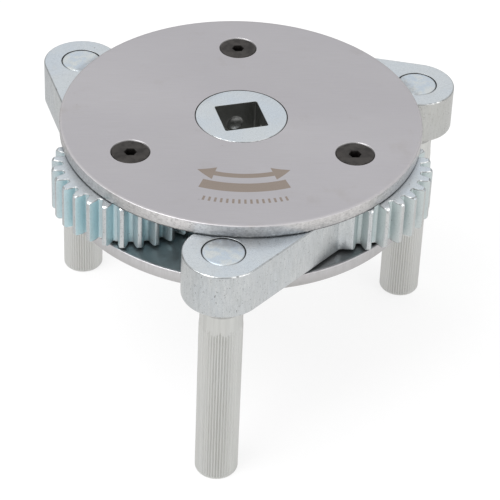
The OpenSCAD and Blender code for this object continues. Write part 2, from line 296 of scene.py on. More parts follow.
def arm_outline(phase, root, tip, thin, w, boss):
    """Outline of an arm about its pivot, arm along +X: sector of teeth, blank block, bar and round end."""
    pitch = 360 / Z_ARM
    first = math.ceil((43 - phase) / pitch - 0.5)
    last = math.floor((360 - 43 - phase) / pitch - 0.5)
    pts = []
    for k in range(first, last + 1):
        pts += gap_outline(math.radians(phase + (k + 0.5) * pitch), Z_ARM, 0, thin, root, tip)
    r, t, m = np.array(pts).T
    xy = [np.stack([r * np.cos(t), r * np.sin(t)], 1)]
    deep = [m]
    kind = [np.where(m > 0.5, 1.0, 0.0)]
    # blank arc from the last tooth round to the bar
    corner = math.asin(w / tip)
    a1 = t[-1]
    a_end = 2 * math.pi - corner
    aa = np.linspace(a1, a_end - 0.05, 12)[1:]
    arc = np.stack([tip * np.cos(aa), tip * np.sin(aa)], 1)
    P = np.array([tip * math.cos(a_end), tip * math.sin(a_end)])
    A = arc[-1]
    B = P + np.array([1.2, 0.0])
    fil = [((1 - u) ** 2) * A + 2 * u * (1 - u) * P + u * u * B for u in (0.25, 0.5, 0.75, 1.0)]
    bar_x = np.linspace(B[0], ARM_LEN, 8)[1:]
    bar = np.stack([bar_x, np.full(len(bar_x), -w)], 1)
    nb = 48
    tb = np.linspace(-math.pi / 2, math.pi / 2, nb + 1)[1:]
    bossp = np.stack([ARM_LEN + boss * np.cos(tb), boss * np.sin(tb)], 1)
    bar2 = np.stack([bar_x[::-1][1:], np.full(len(bar_x) - 1, w)], 1)
    Bm, Pm, Am = B * [1, -1], P * [1, -1], None
    a0 = t[0]
    bb = np.linspace(corner + 0.05, a0, 12)
    arc2 = np.stack([tip * np.cos(bb), tip * np.sin(bb)], 1)
    Am = arc2[0]
    fil2 = [((1 - u) ** 2) * Bm + 2 * u * (1 - u) * Pm + u * u * Am for u in (0.0, 0.25, 0.5, 0.75)]
    extra = np.vstack([arc, np.array(fil), bar, bossp, bar2, np.array(fil2), arc2[:-1]])
    xy.append(extra)
    deep.append(np.zeros(len(extra)))
    kind.append(np.full(len(extra), 0.0))
    return np.vstack(xy), np.concatenate(deep)


def hole_rings(s, r, n, cx, cy, hi, lo, c):
    """A bore with rounded mouths."""
    out = []
    # g is the share of painted shade each ring of a mouth takes, darkest at the bore
    for d, x, e, g in ((0.0, c, 0, 0), (c * 0.12, c * 0.45, .5, .25), (c * 0.45, c * 0.12, .3, .85), (c, 0.0, 0, 1)):
        out.append(s.ring(circle(r + x, n, cx, cy), hi - d, edge=e, gap=g))
    for d, x, e, g in ((c, 0.0, 0, 1), (c * 0.45, c * 0.12, .3, .85), (c * 0.12, c * 0.45, .5, .25), (0.0, c, 0, 0)):
        out.append(s.ring(circle(r + x, n, cx, cy), lo + d, edge=e, gap=g))
    s.loop(out)
    return out


def arm_shell(name, st):
    s = Shell()
    phase = arm_phase(st)
    rings = []
    tip_c, tip_p = 0.72, 1.35          # turned chamfer on the teeth's ends
    soft = 0.22                        # rounding of the flanks' ends
    bar_c = 0.4
    side = [(d, 1) for d in DEPTHS]

    def layer(d, z):
        thin = 0.05 + 2 * inward(d, soft)
        cut = inward(d, tip_c, tip_p)
        w = ARM_W - inward(d, bar_c)
        xy, deep = arm_outline(phase, ARM_ROOT - inward(d, soft), ARM_TIP - cut, thin, w, w)
        e = 1.0 if 0 < d < 0.3 else 0.0
        return s.ring(xy, z, edge=e, deep=deep * min(1.0, d / 0.09))

    for d, _ in side:
        rings.append(layer(d, ARM_HI - d))
    for k in (0.3, 0.5, 0.7):
        rings.append(layer(9.0, ARM_HI + (ARM_LO - ARM_HI) * k))
    for d, _ in reversed(side):
        rings.append(layer(d, ARM_LO + d))
    s.loop(rings)
    pin = hole_rings(s, PIN_R + 0.02, 96, ARM_LEN, 0, ARM_HI, ARM_LO, 0.18)
    bore = hole_rings(s, 6.06, 96, 0, 0, ARM_HI, ARM_LO, 0.4)
    s.cap(rings[0], pin[0], bore[0])
    s.cap(rings[-1], pin[-1], bore[-1])
    d = LEG[st].xy - PIVOT[st].xy
    m = (Matrix.Translation((PIVOT[st].x * MM, PIVOT[st].y * MM, 0))
         @ Matrix.Rotation(math.atan2(d.y, d.x), 4, "Z"))
    return s.build(name, m, 40)


# ---------------------------------------------------------------- drive gear

def square_ring(w, r, per_side, corner=5):
    """Rounded square with the same number of points on each wall; also gives each point's wall, and its place along it.
    """
    pts, wall, along = [], [], []
    h = w / 2
    for q in range(4):
        a = math.pi / 2 * q
        ca, sa = math.cos(a), math.sin(a)
        for i in range(per_side):
            y = (-h + r) + (2 * h - 2 * r) * (i + 0.0) / (per_side - 1)
            pts.append((h * ca - y * sa, h * sa + y * ca))
            wall.append(q)
            along.append(y)
        for i in range(1, corner):
            t = math.pi / 2 * i / corner
            x, y = h - r + r * math.cos(t), h - r + r * math.sin(t)
            pts.append((x * ca - y * sa, x * sa + y * ca))
            wall.append(-1)
            along.append(99.0)
    return np.array(pts), np.array(wall), np.array(along)


def drive_shell(name):
    s = Shell()
    rings = []
    base_xy, deep, rr, tt = sun_outline(SUN_ROOT, SUN_TIP, 0.05)
    unit = np.stack([np.cos(tt), np.sin(tt)], 1)

    def hub(r, z, e, g=0.0):
        rings.append(s.ring(unit * r, z, edge=e, deep=0.0, face=0.0, gap=g))

    # g: painted shade on the lower part of the hub's top chamfer, next to the plate's hole
    for d, e, g in ((0.0, 0, 0), (0.01, .6, 0), (0.04, 1, 0), (0.09, .6, .5), (0.16, .3, 1), (0.23, 0, 1), (0.3, 0, 1)):
        hub(HUB_R - inward(d, 0.3, 1.5), DRIVE_HI - d, e, g)
    hub(HUB_R, DRIVE_HI - 0.5, 0)
    hub(HUB_R, ARM_HI + 0.05, 0)
    hub(HUB_R, ARM_HI, 0)
    tip_c, soft = 0.6, 0.2

    def gear(d, z):
        xy, deep, _, _ = sun_outline(SUN_ROOT - inward(d, soft), SUN_TIP - inward(d, tip_c, 1.35), 0.05 + 2 * inward(d, soft))
        rings.append(s.ring(xy, z, edge=1.0 if 0 < d < 0.5 else 0.0, deep=deep * min(1.0, d / 0.09), face=0.0))

    for d in DEPTHS[:9]:
        gear(d, ARM_HI - d)
    gear(9, (ARM_HI + ARM_LO) / 2)
    for d in reversed(DEPTHS[:9]):
        gear(d, ARM_LO + d)
    hub(HUB_R, ARM_LO, 0)
    for d in (0.3, 0.23, 0.16, 0.09, 0.04, 0.01, 0.0):
        hub(HUB_R - inward(d, 0.3, 1.5), DRIVE_LO + d, 1.0 if 0 < d < 0.2 else 0.0)
    s.loop(rings)
    # the socket, with a ball dimple in each wall
    xy, wall, along = square_ring(SQUARE, 0.6, 47)
    ball, zc, rd = (2.35 ** 2 + 1) / 2, -6.9, 2.35
    levels = [(0.0, 0.13), (0.012, 0.08), (0.04, 0.035), (0.08, 0.01), (0.14, 0.0)]
    zs = [(DRIVE_HI - d, x, 1.0) for d, x in levels]
    zs += [(z, 0.0, 0.0) for z in np.linspace(-1.2, zc + rd + 0.25, 4)]
    zs += [(z, 0.0, 0.0) for z in np.linspace(zc + rd + 0.08, zc - rd - 0.08, 25)]
    zs += [(z, 0.0, 0.0) for z in np.linspace(zc - rd - 0.3, DRIVE_LO + 1.0, 6)]
    zs += [(DRIVE_LO + d, x, 1.0) for d, x in reversed(levels)]
    rim_z = (DRIVE_HI - 0.02, DRIVE_LO + 0.02)
    sq = []
    centre_xy = np.stack([np.cos(np.pi / 2 * np.maximum(wall, 0)), np.sin(np.pi / 2 * np.maximum(wall, 0))], 1)
    for z, x, e in zs:
        d2 = along ** 2 + (z - zc) ** 2
        bump = np.where((wall >= 0) & (d2 < rd * rd), np.sqrt(np.maximum(ball ** 2 - d2, 0)) - (ball - 1), 0.0)
        bump = np.maximum(bump, 0)
        grow = 1 + x / (SQUARE / 2)
        inside = 1.0 if rim_z[1] < z < rim_z[0] else 0.0
        # face carries painted shade on the socket walls, a third less in the dimples
        sq.append(s.ring(xy * grow + centre_xy * bump[:, None], z, edge=0.0, deep=0.0, face=inside * (1 - 0.35 * (bump > 0))))
    s.loop(sq)
    # the square stands at its own angle, so its rings are turned before the caps are made
    turn = math.radians(-38.1)
    c, sn = math.cos(turn), math.sin(turn)
    pts = s.points()
    ids = np.concatenate(sq)
    q = pts[ids, :2].copy()
    pts[ids, 0] = q[:, 0] * c - q[:, 1] * sn
    pts[ids, 1] = q[:, 0] * sn + q[:, 1] * c
    s.v = [pts]
    s.cap(rings[0], sq[0])
    s.cap(rings[-1], sq[-1])
    return s.build(name, Matrix.Rotation(math.radians(SUN_TURN), 4, "Z"), 38)


# ---------------------------------------------------------------- legs

def leg_shell(name, st):
    s = Shell()
    n_flute, per = 48, 10
    n = n_flute * per
    t = 2 * math.pi * np.arange(n) / n
    u = (np.arange(n) % per) / per
    # flat crest, then a narrow rounded valley
    valley = np.where(u < 0.42, 0.0, np.sin(np.pi * (u - 0.42) / 0.58)) ** 1.3

    # each groove starts at its own height
    late = 0.55 * np.abs(np.sin(np.floor(np.arange(n) / per) * 2.399 + 0.7))

    def start(u):
        return np.clip((u - late) / 0.4, 0.0, 1.0)

    def ring(r, z, k=0.0, e=0.0, pin=0.0, gap=0.0):
        rad = r - 0.26 * k * valley
        return s.ring(np.stack([rad * np.cos(t), rad * np.sin(t)], 1), z, edge=e, knurl=k * valley, pin=pin, gap=gap)

    rings = []
    # g: painted shade on the pin's chamfer, in the ring round its top
    for d, x, g in ((0.0, 0.66, 0.0), (0.03, 0.5, 0.0), (0.11, 0.32, 0.3), (0.22, 0.16, 0.9), (0.36, 0.04, 1.0), (0.5, 0.0, 1.0)):
        rings.append(ring(PIN_R - x, LEG_HI - d, 0, 0.0, 1.0, g))
    rings.append(ring(PIN_R, LEG_HI - 1.0, 0, 0, 1.0, 1.0))
    rings.append(ring(PIN_R, ARM_LO - 0.6))
    z_k = ARM_LO - NECK_LEN
    rings.append(ring(PIN_R, z_k + 0.3))
    for k in range(1, 12):
        u = k / 11
        rings.append(ring(PIN_R + (KNURL_R - PIN_R) * (3 * u * u - 2 * u ** 3), z_k + 0.3 - 2.4 * u, start(u)))
    for k in range(1, 10):
        rings.append(ring(KNURL_R, z_k - 2.1 + (LEG_LO + 1.2 - z_k + 2.1) * k / 9, 1.0))
    for d, x in ((0.75, 0.0), (0.6, 0.03), (0.45, 0.1), (0.3, 0.2), (0.14, 0.36), (0.05, 0.5), (0.01, 0.62), (0.0, 0.75)):
        rings.append(ring(KNURL_R - x, LEG_LO + d, max(0.0, 1 - x / 0.3), 1.0 if 0 < d < 0.5 else 0.0))
    s.loop(rings)
    top = [ring(r, LEG_HI + 0.0, 0, 0, 1.0) for r in (5.0, 3.0)]
    s.bridge(top[0], rings[0])
    s.bridge(top[1], top[0])
    s.fan(top[1], (0, 0, LEG_HI), pin=1.0)
    bot = [ring(r, LEG_LO, 0, 0) for r in (4.6, 2.6)]
    s.bridge(rings[-1], bot[0])
    s.bridge(bot[0], bot[1])
    s.fan(bot[1], (0, 0, LEG_LO))
    turn = {"rear": 1.3, "left": 0.4, "right": 2.2}[st]
    m = Matrix.Translation((LEG[st].x * MM, LEG[st].y * MM, 0)) @ Matrix.Rotation(turn, 4, "Z")
    return s.build(name, m, 40)


# ---------------------------------------------------------------- screws

def screw_shell(name, st, up):
    s = Shell()
    n = 96
    down = 0.12
    prof = [(SCREW_HEAD - 0.16, -down, .5), (SCREW_HEAD - 0.07, -down - 0.012, 1), (SCREW_HEAD - 0.015, -down - 0.045, 1),
            (SCREW_HEAD, -down - 0.1, .6), (SCREW_HEAD, -(SINK_R - 0.03 - SCREW_HEAD), .3), (2.55, -3.22, 0), (2.48, -3.45, 0),
            (2.48, -9.5, 0), (1.9, -10.12, 0)]
    outer = [s.ring(circle(r, n), z, edge=e, head=1.0 if z > -0.3 else 0.0) for r, z, e in prof]
    s.loop(outer)
    s.fan(outer[-1], (0, 0, -10.12))
    # hexagon socket
    k = 12
    hexr = 3.0 / 2 / math.cos(math.pi / 6)

    def hexa(grow, round_to=0.0):
        pts = []
        for q in range(6):
            a, b = math.pi / 3 * q, math.pi / 3 * (q + 1)
            A = np.array([math.cos(a), math.sin(a)]) * hexr
            B = np.array([math.cos(b), math.sin(b)]) * hexr
            for i in range(k):
                p = A + (B - A) * i / k
                r = np.hypot(*p)
                c = p / r * (1.5 + 0.02)
                pts.append((p * (1 - round_to) + c * round_to) * (1 + grow / 1.6))
        return np.array(pts)

    hx = [s.ring(hexa(0.2), -down, edge=.2, head=1.0), s.ring(hexa(0.14), -down - 0.05, edge=0, head=.1),
          s.ring(hexa(0.0), -down - 0.25, edge=0, head=0), s.ring(hexa(0.0), -down - 2.2, edge=0, head=0),
          s.ring(hexa(-0.1, 1.0), -down - 2.25, edge=0, head=0)]
    s.loop(hx)
    s.fan(hx[-1], (0, 0, -down - 2.95), edge=0, head=0)
    s.cap(outer[0], hx[0])
    turn = {"rear": 0.05, "left": 0.0, "right": 0.03}[st] + (0 if up else 0.5)
    x, y = PIVOT[st].x * MM, PIVOT[st].y * MM
    if up:
        m = Matrix.Translation((x, y, PLATE_HI * MM)) @ Matrix.Rotation(turn, 4, "Z")
    else:
        m = Matrix.Translation((x, y, BASE_LO * MM)) @ Matrix.Rotation(math.pi, 4, "X") @ Matrix.Rotation(turn, 4, "Z")
    return s.build(name, m, 38)


# ---------------------------------------------------------------- materials

class Nodes:
    """Short helper for building a material's node tree."""

    def __init__(self, name):
        self.m = bpy.data.materials.new(name)
        self.m.use_nodes = True
        self.t = self.m.node_tree
        self.t.nodes.clear()
        self.out = self.t.nodes.new("ShaderNodeOutputMaterial")
        self.bsdf = self.t.nodes.new("ShaderNodeBsdfPrincipled")
        self.t.links.new(self.bsdf.outputs[0], self.out.inputs[0])
        self.coord = self.t.nodes.new("ShaderNodeTexCoord")

    def link(self, a, b):
        self.t.links.new(a, b)

    def put(self, socket, val):
        if hasattr(val, "links") or isinstance(val, bpy.types.NodeSocket):
            self.link(val, socket)
        else:
            socket.default_value = val

    def math(self, op, a, b=0.0, c=None, clamp=False):
        n = self.t.nodes.new("ShaderNodeMath")
        n.operation = op
        n.use_clamp = clamp
        self.put(n.inputs[0], a)
        self.put(n.inputs[1], b)
        if c is not None:
            self.put(n.inputs[2], c)
        return n.outputs[0]

    def mapping(self, scale, rot=(0, 0, 0), loc=(0, 0, 0)):
        """Object coordinates in millimetres, times scale."""
        n = self.t.nodes.new("ShaderNodeMapping")
        n.inputs["Scale"].default_value = [v * 1000 for v in scale]
        n.inputs["Rotation"].default_value = rot
        n.inputs["Location"].default_value = loc
        self.link(self.coord.outputs["Object"], n.inputs["Vector"])
        return n.outputs[0]

    def noise(self, vec, scale=1.0, detail=3.0, rough=0.5, distort=0.0):
        n = self.t.nodes.new("ShaderNodeTexNoise")
        n.inputs["Scale"].default_value = scale
        n.inputs["Detail"].default_value = detail
        n.inputs["Roughness"].default_value = rough
        n.inputs["Distortion"].default_value = distort
        self.link(vec, n.inputs["Vector"])
        return n.outputs[0]

    def voronoi(self, vec, scale=1.0, feature="F1"):
        n = self.t.nodes.new("ShaderNodeTexVoronoi")
        n.feature = feature
        n.inputs["Scale"].default_value = scale
        self.link(vec, n.inputs["Vector"])
        return n.outputs

    def ramp(self, val, lo, hi, a=0.0, b=1.0, smooth=True):
        n = self.t.nodes.new("ShaderNodeMapRange")
        n.interpolation_type = "SMOOTHSTEP" if smooth else "LINEAR"
        self.put(n.inputs["Value"], val)
        n.inputs["From Min"].default_value = lo
        n.inputs["From Max"].default_value = hi
        n.inputs["To Min"].default_value = a
        n.inputs["To Max"].default_value = b
        return n.outputs[0]

    def mix(self, f, a, b, mode="MIX"):
        n = self.t.nodes.new("ShaderNodeMix")
        n.data_type = "RGBA"
        n.blend_type = mode
        n.clamp_factor = True
        self.put(n.inputs[0], f)
        for i, v in ((6, a), (7, b)):
            if isinstance(v, tuple):
                n.inputs[i].default_value = (*v, 1.0)
            else:
                self.link(v, n.inputs[i])
        return n.outputs[2]

    def attr(self, name):
        n = self.t.nodes.new("ShaderNodeAttribute")
        n.attribute_name = name
        return n.outputs["Fac"]

    def bump(self, height, strength, distance=0.0001, normal=None):
        n = self.t.nodes.new("ShaderNodeBump")
        n.inputs["Strength"].default_value = strength
        n.inputs["Distance"].default_value = distance
        self.link(height, n.inputs["Height"])
        if normal is not None:
            self.link(normal, n.inputs["Normal"])
        return n.outputs[0]

    def normal(self, axis):
        g = self.t.nodes.new("ShaderNodeNewGeometry")
        x = self.t.nodes.new("ShaderNodeSeparateXYZ")
        self.link(g.outputs["Normal"], x.inputs[0])
        return x.outputs[axis]

    def normal_x(self):
        return self.normal(0)

    def normal_z(self):
        return self.normal(2)

    def set(self, **kw):
        for k, v in kw.items():
            self.put(self.bsdf.inputs[k.replace("_", " ")], v)
        return self.m


def stain_in(n):
    return n.noise(n.mapping((0.16, 0.16, 0.16), loc=(1.7, 2.9, 0.0)), 1.0, 4.0, 0.6)


def mat_plate(name, mark=False):
    n = Nodes(name)
    streak = n.noise(n.mapping((0.035, 2.6, 2.6)), 1.0, 4.0, 0.62)
    fine = n.noise(n.mapping((0.12, 9.0, 9.0)), 1.0, 2.0, 0.5)
    cloud = n.noise(n.mapping((0.02, 0.035, 0.05)), 1.0, 3.0, 0.5)
    grain = n.noise(n.mapping((5.0, 5.0, 5.0)), 1.0, 2.0, 0.6)
    base = n.mix(n.ramp(cloud, 0.35, 0.65), (0.488, 0.475, 0.502), (0.508, 0.496, 0.520))
    base = n.mix(n.math("MULTIPLY", n.ramp(streak, 0.3, 0.72), 0.4), base, (0.545, 0.533, 0.556))
    base = n.mix(n.math("MULTIPLY", n.ramp(fine, 0.3, 0.7), 0.3), base, (0.425, 0.413, 0.422))
    # the side: brighter under the rolled edge, brown and streaked towards its lower edge
    rim, edge, sink = n.attr("rim"), n.attr("edge"), n.attr("sink")
    runs = n.noise(n.mapping((0.9, 0.9, 0.12)), 1.0, 5.0, 0.7)
    place = n.t.nodes.new("ShaderNodeSeparateXYZ")
    n.link(n.mapping((1.0, 1.0, 1.0)), place.inputs[0])
    across = n.ramp(place.outputs[0], -24.0, -4.0)
    base = n.mix(n.ramp(rim, 0.03, 0.12), base, n.mix(n.ramp(place.outputs[0], -4.0, 10.0), n.mix(n.ramp(place.outputs[0], -38.0, -18.0), (0.565, 0.555, 0.55), (0.80, 0.78, 0.775)), (0.66, 0.645, 0.638)) if mark else n.mix(across, (0.64, 0.63, 0.635), (0.57, 0.56, 0.565)))
    low = n.math("MULTIPLY", n.ramp(rim, 0.25, 0.95), n.ramp(runs, 0.3, 0.62, 0.5, 1.0))
    past = n.ramp(place.outputs[0], 12.0, 30.0, 1.0, 0.35)
    low = n.math("MULTIPLY", low, n.math("MULTIPLY", past, n.math("ADD", n.math("MULTIPLY", across, 0.6), 0.4)))
    base = n.mix(n.math("MULTIPLY", n.ramp(rim, 0.0, 0.1), n.ramp(runs, 0.35, 0.6, 0.3, 0.0)), base, (0.42, 0.41, 0.405))
    base = n.mix(low, base, (0.315, 0.32, 0.325) if mark else (0.45, 0.44, 0.43))
    if not mark:
        # the face between the plates gets a painted bluish reflection, darker at its left and right ends as painted
        # shade, with faint stains
        inner = n.math("MULTIPLY", n.ramp(n.normal_z(), 0.9, 0.99), n.ramp(rim, 0.0, 0.05, 1.0, 0.0))
        painted_inner_light = n.mix(n.ramp(place.outputs[0], -27.0, -20.0), (0.28, 0.345, 0.365), (0.50, 0.61, 0.64))
        painted_inner_light = n.mix(n.ramp(place.outputs[0], 8.0, 22.0), painted_inner_light, (0.20, 0.205, 0.21))
        base = n.mix(inner, base, n.mix(n.ramp(stain_in(n), 0.35, 0.7, 0.0, 0.5), painted_inner_light, (0.22, 0.26, 0.275)))
    # painted highlight along the rolled edge, the lower plate's sharp upper edge and the countersink mouths, broken up
    # by the runs noise
    base = n.mix(n.math("MULTIPLY", edge, n.ramp(runs, 0.35, 0.6, 0.15, 0.6)), base, (0.62, 0.60, 0.595))
    # painted shade on the walls of the hub hole and the countersunk screw holes
    base = n.mix(n.math("MULTIPLY", sink, 0.85), base, (0.16, 0.155, 0.155))
    # painted shadow line all round the top plate's lower edge
    base = n.mix(n.math("MULTIPLY", n.attr("gap"), n.ramp(runs, 0.3, 0.5, 0.45, 0.85)), base, (0.07, 0.072, 0.075))
    if mark:
        # the turned side is pitted
        pock = n.noise(n.mapping((1.1, 1.1, 1.6), loc=(0.0, 9.0, 1.0)), 1.0, 5.0, 0.75)
        sided = n.ramp(rim, 0.03, 0.12)
        base = n.mix(n.math("MULTIPLY", sided, n.ramp(pock, 0.52, 0.62, 0.0, 0.5)), base, (0.30, 0.30, 0.305))
        base = n.mix(n.math("MULTIPLY", sided, n.ramp(pock, 0.38, 0.48, 0.35, 0.0)), base, (0.80, 0.795, 0.79))
    # faint stains and pin-head specks
    stain = n.noise(n.mapping((0.055, 0.055, 0.055), loc=(3.1, 7.7, 0.0)), 1.0, 5.0, 0.65)
    base = n.mix(n.ramp(stain, 0.56, 0.74, 0.0, 0.35), base, (0.40, 0.375, 0.36))
    cells = n.voronoi(n.mapping((0.16, 0.16, 0.16)), 1.0)
    dot = n.math("MULTIPLY", n.ramp(cells[0], 0.03, 0.06, 1.0, 0.0), n.ramp(stain, 0.48, 0.60))
    base = n.mix(n.math("MULTIPLY", dot, 0.5), base, (0.27, 0.25, 0.24))
    rough = n.ramp(streak, 0.25, 0.75, 0.34, 0.46)
    rough = n.math("ADD", rough, n.ramp(grain, 0.3, 0.7, -0.02, 0.03))
    h = n.math("ADD", n.math("MULTIPLY", fine, 0.6), n.math("MULTIPLY", streak, 0.4))
    metal = 1.0 if mark else n.math("SUBTRACT", 1.0, n.math("MULTIPLY", inner, 0.15))
    if mark:
        # etched mark: a curved arrow with a head at each end, over a plain bar
        xyz = n.t.nodes.new("ShaderNodeSeparateXYZ")
        n.link(n.mapping((1.0, 1.0, 1.0)), xyz.inputs[0])
        x, y = xyz.outputs[0], n.math("MULTIPLY", xyz.outputs[1], -1.0)
        radius = n.math("SQRT", n.math("ADD", n.math("MULTIPLY", x, x), n.math("MULTIPLY", y, y)))
        off = n.math("ABSOLUTE", n.math("SUBTRACT", radius, MARK_R))
        arc = n.math("ABSOLUTE", n.math("MULTIPLY", n.math("ARCTAN2", x, y), MARK_R))
        shaft = n.math("MULTIPLY", n.ramp(off, 0.92, 1.08, 1.0, 0.0), n.ramp(arc, MARK_L - 5.2, MARK_L - 5.05, 1.0, 0.0))
        slope = n.math("SUBTRACT", n.math("MULTIPLY", n.math("SUBTRACT", MARK_L, arc), 0.56), off)
        head = n.math("MULTIPLY", n.ramp(slope, -0.08, 0.08), n.ramp(arc, MARK_L - 5.25, MARK_L - 5.1))
        out = n.math("ABSOLUTE", n.math("SUBTRACT", radius, MARK_R + 5.6))
        span_deg = n.math("MULTIPLY", n.math("ABSOLUTE", n.math("ARCTAN2", x, y)), MARK_R + 5.6)
        bar = n.math("MULTIPLY", n.ramp(out, 1.92, 2.08, 1.0, 0.0), n.ramp(span_deg, 12.4, 12.55, 1.0, 0.0))
        low = n.math("ABSOLUTE", n.math("SUBTRACT", radius, MARK_R + 12.0))
        sweep = n.math("MULTIPLY", n.math("ABSOLUTE", n.math("ARCTAN2", x, y)), MARK_R + 12.0)
        comb = n.math("ABSOLUTE", n.math("SUBTRACT", n.math("FRACT", n.math("ADD", n.math("MULTIPLY", sweep, 0.6), 0.5)), 0.5))
        ticks = n.math("MULTIPLY", n.math("MULTIPLY", n.ramp(low, 0.9, 1.05, 1.0, 0.0), n.ramp(sweep, 12.9, 13.0, 1.0, 0.0)), n.ramp(comb, 0.17, 0.23, 1.0, 0.0))
        bar = n.math("MAXIMUM", bar, ticks)
        up = n.ramp(n.normal_z(), 0.9, 0.99)
        etch = n.math("MULTIPLY", n.math("MAXIMUM", n.math("MAXIMUM", shaft, head), bar), n.math("MULTIPLY", up, n.ramp(y, 0.0, 1.0)))
        etch = n.math("MULTIPLY", etch, n.ramp(grain, 0.25, 0.5, 0.82, 1.0))
        base = n.mix(etch, base, (0.265, 0.222, 0.190))
        rough = n.math("ADD", rough, n.math("MULTIPLY", etch, 0.18))
        h = n.math("SUBTRACT", h, n.math("MULTIPLY", etch, 0.5))
        metal = n.math("SUBTRACT", 1.0, n.math("MULTIPLY", etch, 0.45))
    n.set(Metallic=metal, Base_Color=base, Roughness=rough, Anisotropic=0.35)
    b = n.bump(h, 0.10, 0.00006)
    b = n.bump(grain, 0.05, 0.00004, b)
    n.put(n.bsdf.inputs["Normal"], b)
    return n.m


MARK_R, MARK_L = 29.8, 13.6


